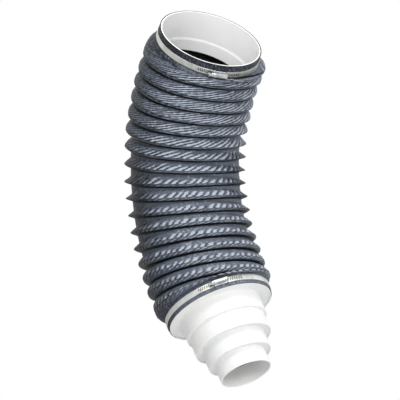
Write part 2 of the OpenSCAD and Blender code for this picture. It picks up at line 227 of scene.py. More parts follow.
class Finish:
    """A material with one Principled shader, whose nodes are added by one method."""

    def __init__(self, name, **constants):
        self.material = bpy.data.materials.new(name)
        self.material.use_nodes = True
        self.tree = self.material.node_tree
        self.shader = next(n for n in self.tree.nodes if n.type == "BSDF_PRINCIPLED")
        for socket, value in constants.items():
            self.shader.inputs[socket.replace("_", " ")].default_value = value

    def node(self, kind, settings=None, inputs=None, output=0):
        """Adds a node: first its settings, then the values or links of its sockets."""
        made = self.tree.nodes.new(kind)
        for key, value in (settings or {}).items():
            setattr(made, key, value)
        for key, value in (inputs or {}).items():
            if isinstance(value, Signal):
                self.tree.links.new(value.socket, made.inputs[key])
            else:
                made.inputs[key].default_value = value
        return Signal(self, made.outputs[output])

    def feed(self, socket, value):
        self.tree.links.new(value.socket, self.shader.inputs[socket])

    def place(self):
        return self.node("ShaderNodeTexCoord", output="Object")

    def surface(self, scale):
        """The piece's own surface coordinates, stretched by a scale of three numbers."""
        uv = self.node("ShaderNodeUVMap", {"uv_map": "surface"})
        return self.node("ShaderNodeMapping", inputs={"Vector": uv, "Scale": scale})

    def mark(self, name):
        return self.node("ShaderNodeAttribute", {"attribute_name": name}, output="Fac")

    def noise(self, at, scale, detail=2.0, roughness=0.5):
        return self.node("ShaderNodeTexNoise", inputs={"Vector": at, "Scale": scale, "Detail": detail,
                                                       "Roughness": roughness})

    def mix(self, share, a, b):
        return self.node("ShaderNodeMix", {"data_type": "RGBA"}, {0: share, 6: a, 7: b}, output=2)

    def bump(self, height, strength, distance):
        return self.node("ShaderNodeBump",
                         inputs={"Height": height, "Strength": strength, "Distance": distance})


def hose_fabric(name, body, puff, painted_crease_shade, painted_ridge_shadow):
    """Coated polyester with painted light and shade: painted shade in its folds and creases,
    a painted highlight on its tucks and puckers and a near-black painted shadow under each ridge,
    with small puckers, a fine plain weave under the coating and a slight mottle."""
    f = Finish(name, Metallic=0.0, Specular_IOR_Level=0.25)
    at = f.place()
    mottle = f.noise(at, 55.0, 4.0)
    pucker = f.noise(at, 240.0, 3.0, 0.6)
    fine = f.noise(at, 700.0, 2.0)
    painted_fold_shading = f.mark("painted_fold_shading") + 0.95 * (pucker - 0.5) + 0.35 * (mottle - 0.5)
    # The puff colour is a painted highlight where the fold mark is high, and the crease colour is painted
    # shade where it is low.
    lit = f.mix(painted_fold_shading.above(0.72, 0.5), body, puff)
    colour = f.mix(painted_fold_shading.above(0.22, 0.4), painted_crease_shade, lit)
    # The ridge shadow mark lays a near-black painted shadow under each ridge.
    f.feed("Base Color", f.mix(f.mark("painted_ridge_shadow").above(0.4, 0.7), colour, painted_ridge_shadow))
    f.feed("Roughness", 0.3 + 0.2 * mottle + 0.1 * pucker)
    threads = f.surface((3300.0, 3300.0, 1.0))
    u = f.node("ShaderNodeSeparateXYZ", inputs={0: threads})
    v = Signal(f, u.socket.node.outputs["Y"])
    weave = u.sine() * v.sine()
    f.feed("Normal", f.bump(0.08 * weave + 0.3 * fine + 2.6 * pucker + 1.4 * mottle, 0.9, 0.0012))
    return f.material


def moulded_plastic(name, colour, shade):
    """White moulded plastic: satin, with a faint mould texture and flow mottle."""
    f = Finish(name, Specular_IOR_Level=0.45, Subsurface_Weight=0.05, Subsurface_Scale=0.004)
    at = f.place()
    flow = f.noise(at, 18.0, 3.0)
    grain = f.noise(at, 900.0, 2.0)
    f.feed("Base Color", f.mix(flow.above(0.55, 0.5) * 0.5, colour, shade))
    f.feed("Roughness", 0.34 + 0.14 * flow + 0.05 * grain)
    f.feed("Normal", f.bump(grain + 2.0 * flow, 0.12, 0.0004))
    return f.material


def rolled_steel(name, colour, dull, rough, along, slot_shade_colour=None):
    """Rolled or turned steel: fine lines along the surface coordinate that has the smaller
    number in along, and a slight stain. With a slot colour given, its slots are painted that dark as
    painted shade."""
    f = Finish(name, Metallic=1.0)
    lines = f.noise(f.surface(along), 1.0, 3.0, 0.6)
    stain = f.noise(f.place(), 60.0, 3.0)
    metal = f.mix(stain.above(0.5, 0.5), colour, dull)
    f.feed("Base Color", metal if slot_shade_colour is None else f.mix(f.mark("slot").above(0.4, 0.6), metal, slot_shade_colour))
    f.feed("Roughness", rough - 0.08 + 0.16 * lines + 0.12 * stain)
    f.feed("Normal", f.bump(lines, 0.15, 0.0002))
    return f.material


# Each cloth's colour, then its painted highlight on the tucks, its painted shade in the creases and its
# painted shadow under each ridge.
FABRIC = hose_fabric("coated_fabric", linear(93, 101, 114), linear(180, 187, 198), linear(24, 28, 35),
                     linear(5, 6, 9))
# A darker copy of the same cloth for the hose's inside: painted shade where the inside lies in shade.
SHADED_LINING = hose_fabric("hose_lining_shaded", linear(20, 22, 26), linear(30, 33, 37), linear(8, 9, 11),
                     linear(6, 7, 8))
PLASTIC = moulded_plastic("moulded_white", linear(240, 240, 239), linear(231, 232, 232))
# A brighter copy of the same white plastic for the collar: painted light, so that its inside shows bright.
LIT_WHITE_PLASTIC = moulded_plastic("moulded_white_painted_light", linear(249, 249, 248), linear(243, 244, 244))
LENGTHWISE, EVEN = (900.0, 60.0, 1.0), (400.0, 400.0, 1.0)
STEEL = rolled_steel("rolled_steel", linear(220, 221, 217), linear(190, 193, 189), 0.44, LENGTHWISE)
# The last colour is painted shade in the tail's slots.
SLOTTED = rolled_steel("slotted_steel", linear(218, 218, 214), linear(184, 186, 182), 0.40, EVEN,
                       linear(104, 104, 101))
ZINC = rolled_steel("zinc_plated", linear(196, 198, 198), linear(150, 154, 156), 0.20, EVEN)


# ---------------------------------------------------------------- the hose's skin
# Each side of the hose that is a quarter turn from the next has its own fold shape, given at
# stations from the lower clamp up: how far the cloth leaves the wire above and below it, as a
# share of the pitch, and how round the lobe is, from 0, a drawn fin, to 1, a slack roll.
SIDES = (-124.0, -34.0, 56.0, 146.0)
FOLD_STATIONS = (-205, -150, -118, -95, -40, 0, 30, 55, 80, 105, 150, 213)
ABOVE_WIRE = ((0.55, 0.53, 0.46, 0.34, 0.27, 0.27, 0.32, 0.40, 0.50, 0.55, 0.56, 0.56),
              (0.74, 0.74, 0.74, 0.74, 0.72, 0.70, 0.72, 0.74, 0.75, 0.76, 0.76, 0.76),
              (0.70, 0.66, 0.60, 0.52, 0.42, 0.36, 0.36, 0.40, 0.60, 0.70, 0.72, 0.72),
              (0.70, 0.66, 0.60, 0.55, 0.50, 0.48, 0.48, 0.50, 0.60, 0.68, 0.70, 0.70))
BELOW_WIRE = ((0.45, 0.44, 0.36, 0.24, 0.17, 0.17, 0.22, 0.32, 0.42, 0.45, 0.44, 0.44),
              (0.24, 0.24, 0.23, 0.22, 0.21, 0.21, 0.21, 0.22, 0.23, 0.24, 0.24, 0.24),
              (0.28, 0.26, 0.22, 0.16, 0.12, 0.11, 0.11, 0.12, 0.18, 0.24, 0.27, 0.28),
              (0.28, 0.26, 0.22, 0.20, 0.18, 0.17, 0.17, 0.18, 0.22, 0.26, 0.28, 0.28))
ROUND_LOBE = ((1.0, 0.9, 0.6, 0.2, 0.0, 0.0, 0.2, 0.6, 0.9, 1.0, 1.0, 1.0),
              (0.8, 0.75, 0.7, 0.6, 0.5, 0.5, 0.5, 0.6, 0.7, 0.8, 0.85, 0.85),
              (0.9, 0.9, 0.8, 0.5, 0.2, 0.1, 0.1, 0.2, 0.6, 0.9, 0.9, 0.9),
              (0.8, 0.75, 0.6, 0.5, 0.4, 0.4, 0.4, 0.5, 0.6, 0.8, 0.85, 0.85))
# Tucks in a turn: at the upper clamp, far from it, and the turns in which they change
FEW_TUCKS, MANY_TUCKS, TUCK_TURNS = 26, 56, 8.0
# Heights of the tucks above and below the wire, how much steeper and how long the lower ones
# are, the width of the line that the wire draws, and the gathers round the strip of the collar
TUCK_H, LOWER_TUCK_H, LOWER_LEAN, LOWER_REACH, WIRE_LINE, GATHERS = 2.1, 1.4, 4.5, 5.0, 0.8, 118
# The slanting tucks of each side: tucks passed for each millimetre up the flank, and depth
TUCK_STATIONS = (-205, -120, -60, 0, 60, 120, 213)
TUCK_SLANT = ((0.04, 0.04, 0.05, 0.08, 0.22, 0.42, 0.50),
              (0.07, 0.07, 0.07, 0.09, 0.16, 0.25, 0.28),
              (0.07, 0.07, 0.07, 0.08, 0.12, 0.17, 0.18),
              (0.07, 0.07, 0.08, 0.10, 0.15, 0.20, 0.22))
TUCK_DEPTH = ((0.50, 0.50, 0.45, 0.40, 0.42, 0.45, 0.45),
              (1.00, 1.00, 1.00, 1.00, 1.00, 1.00, 1.00),
              (0.75, 0.70, 0.65, 0.65, 0.70, 0.75, 0.80),
              (0.80, 0.80, 0.80, 0.80, 0.80, 0.80, 0.80))
# How far up each side's tucks reach from the wire, in millimetres
TUCK_REACH = ((9.0, 9.0, 9.0, 10.0, 12.0, 14.0, 15.0),
              (9.0, 9.0, 9.5, 12.0, 16.0, 18.0, 18.0),
              (9.0, 9.0, 10.5, 13.5, 17.0, 19.0, 19.0),
              (10.0, 10.0, 11.0, 12.5, 14.0, 15.0, 15.0))
# How light each side's cloth is painted between its tucks, from 0, a deep crease, to 1, a puff:
# painted shade and light for how the light falls on each side, darkest on the left
PAINTED_SIDE_SHADE = ((0.06, 0.06, 0.06, 0.05, 0.04, 0.02, 0.02),
              (0.56, 0.57, 0.56, 0.52, 0.46, 0.40, 0.30),
              (0.40, 0.40, 0.40, 0.40, 0.38, 0.38, 0.38),
              (0.38, 0.38, 0.38, 0.38, 0.38, 0.38, 0.38))
# How far up each side's turns lie from a regular helix, in millimetres
TURN_SHIFT = ((0, 0, 0, 0, 1.0, 3.0, 6.0),
              (0, 0, 0, 0, -1.0, -1.5, 0),
              (0, 0, 0, 0, -1.5, -3.0, -1.0),
              (0, 0, 0, 0, 0, 0, 0))


def by_side(stations, table, s, around):
    """The value of a table of sides at stations s: along each side it runs through the listed
    stations, and round the hose the sides are mixed by the square of a cosine."""
    total = 0.0
    for side, values in zip(SIDES, table):
        share = np.maximum(0.0, np.cos(around - math.radians(side))) ** 2
        total = total + share * np.interp(s, stations, values)
    return total


def waves(x, seed, *frequencies):
    """A sum of sines of x at the given frequencies with seeded phases, from about -1 to 1."""
    phases = np.random.default_rng(seed).uniform(0, 2 * math.pi, len(frequencies))
    return sum(np.sin(k * x + p) for k, p in zip(frequencies, phases)) / math.sqrt(len(frequencies))


def fold_shape(t, roundness):
    """Height of the cloth at the share t of the way from the wire to the foot of its flank:
    a drawn fin is (1 - t)^1.3, a slack roll is (1 - t^2)^0.7, and both have a rounded tip."""
    tip = 0.1
    t = (np.sqrt(np.clip(t, 0, 1) ** 2 + tip ** 2) - tip) / (math.sqrt(1 + tip ** 2) - tip)
    t = np.clip(t, 0, 1)
    return (1 - roundness) * (1 - t) ** 1.3 + roundness * (1 - t * t) ** 0.7


def ridge_share(crest):
    """How much of its height the ridge has whose wire passes at station crest: it rises out of
    the cuff below the upper clamp and sinks again above the lower clamp."""
    top = 90 + 360 * (3 - (crest - pleat_station(1)) / PITCH)
    low = 90 + 360 * (pleat_station(PLEATS) - PITCH - crest) / PITCH
    return ease((top - 240) / 130) * ease((450 - low) / 60)


def hashed(k, seed):
    """A number from 0 to 1 that is random from one whole number k to the next."""
    return np.modf(np.abs(np.sin(k * 12.9898 + seed) * 43758.5453))[0]


def tucks(up_flank, along_wire, slant, far):
    """(height, leaf mark, cut mark) of the tucks at a distance up or, below 0, down the flank
    from a wire. Each tuck rises slowly and drops steeply, sin(pi u^1.5)^0.7 across its width,
    and has its own height and its own length, which is about the distance far. The leaf mark is a
    painted highlight on each tuck, and the cut mark is painted shade between two."""
    turns = along_wire / (2 * math.pi)
    crowded = (MANY_TUCKS - FEW_TUCKS) * TUCK_TURNS * np.exp(-(turns + 3) / TUCK_TURNS)
    uneven = (0.16 * waves(along_wire, 13, 3.3, 7.1, 12.7)
              + 0.06 * waves(up_flank + 9 * along_wire, 17, 0.9, 1.7))
    phase = MANY_TUCKS * turns + crowded - slant * up_flank + uneven
    tuck = np.floor(phase)
    u = phase - tuck
    puff = np.sin(math.pi * u ** 1.5) ** 0.7
    reach = np.abs(up_flank)
    own_far = far * (0.8 + 0.4 * hashed(tuck, 1.0))
    rise = 0.35 + 0.65 * ease(reach / 1.6)
    own = rise * ease((own_far - reach) / (0.5 * far)) * (0.8 + 0.4 * hashed(tuck, 5.0))
    common = rise * ease((far - reach) / (0.5 * far))
    painted_leaf_highlight = own * np.sin(math.pi * u ** 1.2) ** 1.6
    return own * puff - 0.6 * common, painted_leaf_highlight, common * (1 - puff) ** 1.3


def skin(s, around, tucked=True):
    """(radius, fold mark, seam mark) of the hose's outside at station s and angle around in
    radians. The wire runs down one pitch for each turn. From each wire the cloth falls to the
    valley as fold_shape says, far up and a short way down, and slanting tucks stand on both
    flanks. The fold mark paints light and shade: a painted highlight on a tuck and painted shade
    between two. The seam mark is 1 where a painted shadow lies in the sharp crease at the foot
    of each ridge."""
    degrees = np.degrees(around)
    inside_bands = ease((UPPER_CUFF_STATION - s) / 30) * ease((s - LOWER_CUFF_STATION) / 30)
    wander = 0.7 * waves(around, 3, 1, 2, 3) + 0.5 * waves(s / 31.0 + around, 5, 1.0, 2.0)
    wander = wander * inside_bands
    lift = by_side(TUCK_STATIONS, TURN_SHIFT, s, around)
    turn = (s + wander - lift - pleat_station(1)) / PITCH + (degrees - 90) / 360
    wire = np.floor(turn)
    up = turn - wire
    down = 1 - up
    here, over = ridge_share(s - up * PITCH), ridge_share(s + down * PITCH)
    hand = np.radians(degrees - 360 * wire)
    hand_over = hand - 2 * math.pi
    above, below, roundness = (by_side(FOLD_STATIONS, table, s, around)
                               for table in (ABOVE_WIRE, BELOW_WIRE, ROUND_LOBE))
    grow = 1 + 0.05 * waves(hand, 7, 1.3, 2.9, 5.3)
    grow_over = 1 + 0.05 * waves(hand_over, 7, 1.3, 2.9, 5.3)
    rolled = here * grow * fold_shape(up / above, roundness)
    drawn = over * grow_over * fold_shape(down / below, 0.4 + 0.6 * roundness)
    height = np.maximum(rolled, drawn)
    band_edge = ease((UPPER_CUFF_STATION - s) / 5) * ease((s - LOWER_CUFF_STATION) / 4)
    cuff = np.where(s > 0, UPPER_CUFF_R, LOWER_CUFF_R)
    base = cuff + (VALLEY_R - cuff) * band_edge
    near_band = ease((UPPER_CUFF_STATION - s) / 9) * ease((s - LOWER_CUFF_STATION) / 9)
    slant, depth = (by_side(TUCK_STATIONS, table, s, around) for table in (TUCK_SLANT, TUCK_DEPTH))
    far = by_side(TUCK_STATIONS, TUCK_REACH, s, around)
    tuck, painted_leaf_highlight, cut = tucks(up * PITCH, hand, slant, far)
    tuck_over, painted_leaf_highlight_over, cut_over = tucks(-down * PITCH, hand_over, LOWER_LEAN * slant, LOWER_REACH)
    tuck = (TUCK_H * here * tuck + LOWER_TUCK_H * over * tuck_over) * near_band * depth
    cut = (here * cut + over * cut_over) * near_band * depth
    on_wire = np.exp(-(np.minimum(up, down) * PITCH / WIRE_LINE) ** 2)
    painted_leaf_highlight = (here * painted_leaf_highlight + 0.7 * over * painted_leaf_highlight_over) * near_band * depth * (1 - 0.8 * on_wire)
    gathers = np.sin(GATHERS * around + 0.9 * s) * waves(around + 0.02 * s, 23, 9.0, 14.0, 31.0)
    collar_strip = ease((s - UPPER_CUFF_STATION - BAND_W) / 3)
    tuck = tuck + 0.15 * collar_strip * gathers
    r = base + RIDGE_H * near_band * height + (tuck if tucked else 0.0)
    # Painted shadow: a near-black line in the sharp crease at the foot of each ridge, where the ridge
    # shades the cloth.
    painted_ridge_shadow = over * ease(1.6 - np.abs(down - below * 1.04) / 0.055) * near_band
    # Painted shade on the cloth drawn into fins at the sides of the hose.
    painted_fin_shade = ease((0.42 - roundness) / 0.3) * ease(height / 0.45) * near_band
    # Painted shade by side, darkest on the left, away from the light, and darker on the strip by the
    # collar.
    painted_side_shade = by_side(TUCK_STATIONS, PAINTED_SIDE_SHADE, s, around) - 0.18 * collar_strip
    # Painted light and shade: highlight on the leaves, shade in the cuts between tucks and on the fins, the
    # gathers by the collar painted to their heights, and darker along the wire.
    painted_fold_shading = (painted_side_shade + 0.62 * painted_leaf_highlight - 0.42 * cut - 0.22 * on_wire * near_band
            + 0.12 * collar_strip * gathers - 0.45 * painted_fin_shade)
    return r, np.clip(painted_fold_shading, 0, 1), np.clip(painted_ridge_shadow, 0, 1)


COLUMNS, INNER_SHARE, HALF_ROWS = 800, 5, 16
CLOTH_UNDER, LINED_GAP = 1.8, 0.15
# The way round a ridge, in metres, which the threads of the weave are counted on
ROUND_RIDGE = 2 * math.pi * 0.0926
ROW_STEP = PITCH / 2 / HALF_ROWS


def skin_piece(name, stations):
    """A closed piece of the hose between its first and last station: the outside, the inside
    CLOTH_UNDER below it with a fifth of its columns, and a flat ring at each end. Its normals are
    worked out with a row beyond each end, so that neighbours meet without a line."""
    s = np.concatenate([[2 * stations[0] - stations[1]], stations, [2 * stations[-1] - stations[-2]]])
    around = -math.pi + 2 * math.pi * np.arange(COLUMNS) / COLUMNS
    sg, ag = np.meshgrid(s, around, indexing="ij")
    r, painted_fold_shading, painted_ridge_shadow = skin(sg, ag)
    outer = hose_point(sg, ag, r)
    down = outer[2:] - outer[:-2]
    along = np.roll(outer, -1, 1) - np.roll(outer, 1, 1)
    outward = unit(np.cross(down, along[1:-1]))
    si, ai = np.meshgrid(stations, around[::INNER_SHARE], indexing="ij")
    ri = skin(si, ai, tucked=False)[0] - CLOTH_UNDER
    ri = np.where(si < LOWER_CUFF_STATION, SEAT_R + LINED_GAP, ri)
    inner = hose_point(si, ai, np.where(si > UPPER_CUFF_STATION, COLLAR_R + LINED_GAP, ri))
    spokes = unit(inner - centre(si))
    rows, n_out, n_in = len(stations), COLUMNS, COLUMNS // INNER_SHARE
    out_faces, oi, oj = grid_faces(rows, n_out, True)
    first = rows * n_out
    in_faces, ii, ij = grid_faces(rows, n_in, True, first=first)
    rings, ring_uv = [], []
    k = np.repeat(np.arange(n_in), INNER_SHARE)
    j = np.arange(n_out)
    for row, flip in ((0, True), (rows - 1, False)):
        fan = np.stack([first + row * n_in + k, row * n_out + (j + 1) % n_out, row * n_out + j], 1)
        m = np.arange(n_in)
        gap = np.stack([first + row * n_in + m, first + row * n_in + (m + 1) % n_in,
                        row * n_out + (m + 1) * INNER_SHARE % n_out], 1)
        for tri in (fan, gap):
            rings.append(tri[:, ::-1] if flip else tri)
            ring_uv.append(np.zeros((len(tri), 3, 2)))
    v_out = (stations[0] - stations) * MM
    uv_out = np.stack([oj / n_out * ROUND_RIDGE, v_out[oi]], -1)[:, ::-1]
    uv_in = np.stack([ij / n_in * ROUND_RIDGE, v_out[ii]], -1)
    points = np.concatenate([outer[1:-1].reshape(-1, 3), inner.reshape(-1, 3)])
    normals = np.concatenate([outward.reshape(-1, 3), -spokes.reshape(-1, 3)])
    lined = inner.shape[0] * inner.shape[1]
    marks = {"painted_fold_shading": np.concatenate([painted_fold_shading[1:-1].ravel(), np.full(lined, 0.4)]),
             "painted_ridge_shadow": np.concatenate([painted_ridge_shadow[1:-1].ravel(), np.zeros(lined)])}
    piece = build(name, points, [out_faces[:, ::-1], in_faces] + rings, normals,
                  [uv_out, uv_in] + ring_uv, marks)
    piece.data.materials.append(FABRIC)
    piece.data.materials.append(SHADED_LINING)
    lining = np.zeros(len(piece.data.polygons), np.int32)
    lining[len(out_faces):] = 1
    piece.data.polygons.foreach_set("material_index", lining)
    return piece


def bend_slab(s_from, s_to):
    """(start, end) of a slab through a piece: on the middle turn's own normal, as long as the
    piece."""
    middle = (s_from + s_to) / 2
    tilt = float(turn_tilt(np.array(middle)))
    normal = np.array([math.sin(tilt), 0.0, math.cos(tilt)])
    c = centre(middle)
    reach_from, reach_to = (centre(s_from) - c) @ normal, (centre(s_to) - c) @ normal
    return [Vector((c + normal * h) * MM) for h in (reach_from, reach_to)]


def make_hose():
    """The two ends ride on the end fittings. Between them each pleat is two pieces, its upper
    half and its lower half, which are made in place and not attached to a body."""
    top = pleat_station(1) + PITCH / 2
    bottom = pleat_station(PLEATS) - PITCH / 2
    steps = int((UPPER_CUFF_STATION - top) / ROW_STEP)
    upper = list(np.linspace(INLET_STATION - 0.1, UPPER_CUFF_STATION + 0.5, 22))
    pleated = [top + ROW_STEP * k for k in range(steps, -1, -1)]
    end = skin_piece("hose_upper_end", np.array(upper + pleated))
    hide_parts("upper_cuff", "upper_run_out", "upper_end_pleat", "upper_end_wire")
    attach(end, "upper_end")
    above = "upper_end"
    for n in range(1, PLEATS + 1):
        middle = pleat_station(n)
        ring = f"pleat_{n:02d}"
        below = f"wire_turn_{n:02d}" if n < PLEATS else "lower_end"
        halves = (("a", middle + PITCH / 2, middle, above, ring),
                  ("b", middle, middle - PITCH / 2, ring, below))
        for half, s_from, s_to, body_from, body_to in halves:
            piece = skin_piece(f"hose_pleat_{n:02d}{half}", s_from - ROW_STEP * np.arange(HALF_ROWS + 1))
            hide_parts(ring)
            if half == "b" and n < PLEATS:
                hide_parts(below)
            start, finish = bend_slab(s_from, s_to)
            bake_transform(piece)
        above = below
    steps = int((bottom - LOWER_CUFF_STATION) / ROW_STEP)
    lower = [LOWER_CUFF_STATION - 0.5, LOWER_CUFF_STATION - 5.5, REDUCER_STATION + 1]
    pleated = [bottom - ROW_STEP * k for k in range(steps + 1)]
    end = skin_piece("hose_lower_end", np.array(pleated + lower))
    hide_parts("lower_run_out", "lower_cuff", "lower_end_wire")
    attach(end, "lower_end")


# ---------------------------------------------------------------- turned fittings
def end_frame(station, sign, turned=0.0):
    """4x4 matrix of an end's frame: the origin at the mouth, +Z out of the hose, and +X at
    the angle turned round the hose."""
    c = centre(station)
    a = sign * HALF_ANGLE
    x = np.array([math.cos(a), 0, -math.sin(a)])
    y = np.array([0.0, 1.0, 0.0])
    z = sign * np.array([math.sin(a), 0, math.cos(a)])
    t = math.radians(turned)
    m = np.eye(4)
    m[:3, 0] = x * math.cos(t) + y * math.sin(t)
    m[:3, 1] = -x * math.sin(t) + y * math.cos(t)
    m[:3, 2] = z
    m[:3, 3] = c
    return m


def placed(points, matrix):
    return points @ matrix[:3, :3].T + matrix[:3, 3]


def rounded_loop(corners, radius, steps=4):
    """A closed profile whose corners are cut by quadratic curves of about the given radius,
    and no longer than 45 % of either side."""
    corners = np.array(corners, float)
    before, after = np.roll(corners, 1, 0), np.roll(corners, -1, 0)
    out = []
    for p, a, b in zip(corners, before, after):
        la, lb = np.linalg.norm(a - p), np.linalg.norm(b - p)
        cut = min(radius, 0.45 * la, 0.45 * lb)
        p0, p2 = p + (a - p) / la * cut, p + (b - p) / lb * cut
        u = np.linspace(0, 1, steps + 1)[:, None]
        out.append((1 - u) ** 2 * p0 + 2 * u * (1 - u) * p + u ** 2 * p2)
    return np.concatenate(out)


def ring_piece(name, profile, matrix, material, columns=192):
    """A closed profile of (radius, height) points carried once round the frame's Z axis. The
    profile runs anticlockwise with the radius to the right, and each normal leans to the longer
    of the two sides that meet there, so that flats stay flat."""
    profile = np.asarray(profile, float)
    around = 2 * math.pi * np.arange(columns) / columns
    side = np.roll(profile, -1, 0) - profile
    lean = np.stack([side[:, 1], -side[:, 0]], 1)
    lean = lean * np.linalg.norm(side, axis=1, keepdims=True) ** 2
    lean = unit(lean + np.roll(lean, 1, 0))
    ahead = np.roll(profile, -1, 0)
    if np.sum(profile[:, 0] * ahead[:, 1] - ahead[:, 0] * profile[:, 1]) < 0:
        raise ValueError(f"the profile of {name} runs the wrong way")
    c, s = np.cos(around)[None, :], np.sin(around)[None, :]
    points = np.stack([profile[:, :1] * c, profile[:, :1] * s, profile[:, 1:] + 0 * c], -1)
    normals = np.stack([lean[:, :1] * c, lean[:, :1] * s, lean[:, 1:] + 0 * c], -1)
    faces, i, j = grid_faces(len(profile), columns, True, True)
    length = np.concatenate([[0], np.cumsum(np.linalg.norm(side, axis=1))])
    uv = np.stack([j / columns, length[i] / length[-1]], -1)
    if np.linalg.det(matrix[:3, :3]) < 0:
        faces, uv = faces[:, ::-1], uv[:, ::-1]
    piece = build(name, placed(points.reshape(-1, 3), matrix), [faces],
                  normals.reshape(-1, 3) @ matrix[:3, :3].T, [uv])
    piece.data.materials.append(material)
    return piece


EDGE_R, SHOULDER = 0.5, 4.0


def make_collar():
    """A straight sleeve with a thin rim. Its bore steps in a little at the stop, and below
    that its outside tapers to a thin skirt."""
    bore, r = COLLAR_R - COLLAR_WALL, COLLAR_R
    inner, skirt = bore - STOP_W, bore - STOP_W + SKIRT_WALL
    foot = -STOP_DEPTH - COLLAR_WALL
    corners = [(inner, -COLLAR_DEPTH), (skirt, -COLLAR_DEPTH), (skirt, foot - SKIRT_TAPER), (r, foot),
               (r, 0), (bore, 0), (bore, -STOP_DEPTH), (inner, -STOP_DEPTH - SHOULDER)]
    piece = ring_piece("collar", rounded_loop(corners, EDGE_R), end_frame(INLET_STATION, 1),
                       LIT_WHITE_PLASTIC)
    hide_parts("inlet_collar")
    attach(piece, "inlet_collar")


def make_reducer():
    """The reducer is one moulding: a spigot with a lead-in and a seat for the clamp, and four
    steps. Each face but the first step's is recessed inside a rounded lip."""
    ends = np.cumsum(STEP_LENGTH)
    wall = REDUCER_WALL
    face = [ends[0], ends[1] - LIP_H, ends[2] - LIP_H]
    bore = [r - wall for r in STEP_R]
    corners = [(SPIGOT_R - wall, -SPIGOT_LENGTH), (SPIGOT_R, -SPIGOT_LENGTH),
               (SPIGOT_R, -SEAT_LENGTH - LEAD_IN), (SEAT_R, -SEAT_LENGTH), (SEAT_R, 0),
               (SEAT_R - LIP_W, 0), (SEAT_R - LIP_W, -LIP_H), (STEP_R[0], -LIP_H),
               (STEP_R[0], ends[0]), (STEP_R[1], ends[0]), (STEP_R[1], ends[1])]
    for i in (1, 2):
        corners += [(STEP_R[i] - LIP_W, ends[i]), (STEP_R[i] - LIP_W, face[i]),
                    (STEP_R[i + 1], face[i]), (STEP_R[i + 1], ends[i + 1])]
    corners += [(bore[3], ends[3])]
    for i in (3, 2, 1):
        corners += [(bore[i], face[i - 1] - wall), (bore[i - 1], face[i - 1] - wall)]
    corners += [(bore[0], -LIP_H - wall), (SPIGOT_R - wall, -LIP_H - wall)]
    piece = ring_piece("reducer", rounded_loop(corners, EDGE_R), end_frame(REDUCER_STATION, -1), PLASTIC)
    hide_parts(*[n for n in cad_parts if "reducer" in n])
    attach(piece, "reducer")


# ---------------------------------------------------------------- worm-drive clamps
# The small hole's radius at each pole, the slots, and the angle over which an edge stays sharp
POLE, SLOT_DEPTH, SLOT_HALF_L, SLOT_LEAN, SHARP = 0.02, 0.6, 2.5, math.radians(30), math.radians(32)


def turned_piece(name, radii, heights, matrix, material):
    """A closed skin of (rows, columns) radii and heights round the frame's Z axis, whose last
    row joins its first. The rows run anticlockwise with the radius to the right."""
    rows, columns = radii.shape
    around = 2 * math.pi * np.arange(columns) / columns
    points = np.stack([radii * np.cos(around), radii * np.sin(around), heights], -1)
    faces, i, j = grid_faces(rows, columns, True, True)
    uv = np.stack([j / columns * 0.02, i / rows * 0.05], -1)
    return solid_piece(name, points, [faces], [uv], matrix, material)


def solid_piece(name, points, faces, uvs, matrix, material, marks=None):
    """Grid points in a frame as a smooth piece whose edges over the angle SHARP stay sharp."""
    if np.linalg.det(matrix[:3, :3]) < 0:
        faces, uvs = [f[:, ::-1] for f in faces], [u[:, ::-1] for u in uvs]
    piece = build(name, placed(points.reshape(-1, 3), matrix), faces, None, uvs, marks)
    piece.data.set_sharp_from_angle(angle=SHARP)
    piece.data.materials.append(material)
    return piece


def strip_faces(rows, columns):
    """Quads of a closed band of columns along its rows, with each end filled between the two
    halves of the loop."""
    faces, i, j = grid_faces(rows, columns, True)
    k = np.arange(columns // 2 - 1)
    end = np.stack([k, k + 1, columns - 2 - k, columns - 1 - k], 1)
    last = (rows - 1) * columns + end[:, ::-1]
    uv = np.stack([j / columns * 0.02, i / rows * 0.07], -1)
    plain = np.zeros((len(end), 4, 2))
    return [faces, end[:, ::-1], last[:, ::-1]], [uv, plain, plain]


def tail_piece(name, inner, matrix):
    """The band's slotted tail: a strip round the band whose outside sinks by SLOT_DEPTH in
    slanting slots, one each slot pitch, and drops to a rounded edge at its two long sides."""
    half = math.asin(HOUSING_L / 2 / inner) + math.radians(TAIL_ANGLE)
    t = np.linspace(-half * inner, half * inner, 321)
    z = np.linspace(-BAND_W / 2, BAND_W / 2, 37)
    tg, zg = np.meshgrid(t, z, indexing="ij")
    share = np.mod((tg + zg * math.tan(SLOT_LEAN)) / SLOT_PITCH + 0.5, 1) - 0.5
    across = share * SLOT_PITCH * math.cos(SLOT_LEAN)
    slot = ease((SLOT_W / 2 - np.abs(across)) / 0.3 + 0.5)
    slot = slot * ease((SLOT_HALF_L - np.abs(zg)) / 0.4 + 0.5)
    slot = slot * ease((half * inner - 3 - np.abs(tg)) / 0.5)
    edge = 0.3 * ease((np.abs(zg) - BAND_W / 2 + 0.5) / 0.5)
    outer_r = inner + BAND_T - SLOT_DEPTH * slot - edge
    r = np.concatenate([outer_r, np.full_like(outer_r, inner)[:, ::-1]], 1)
    around = np.concatenate([tg, tg[:, ::-1]], 1) / inner
    heights = np.concatenate([zg, zg[:, ::-1]], 1)
    points = np.stack([r * np.cos(around), r * np.sin(around), heights], -1)
    faces, uvs = strip_faces(len(t), r.shape[1])
    # The slot mark carries painted shade into the slots.
    slot_shade_mask = np.concatenate([slot, 0 * slot], 1)
    return solid_piece(name, points, faces, uvs, matrix, SLOTTED, {"slot": slot_shade_mask})


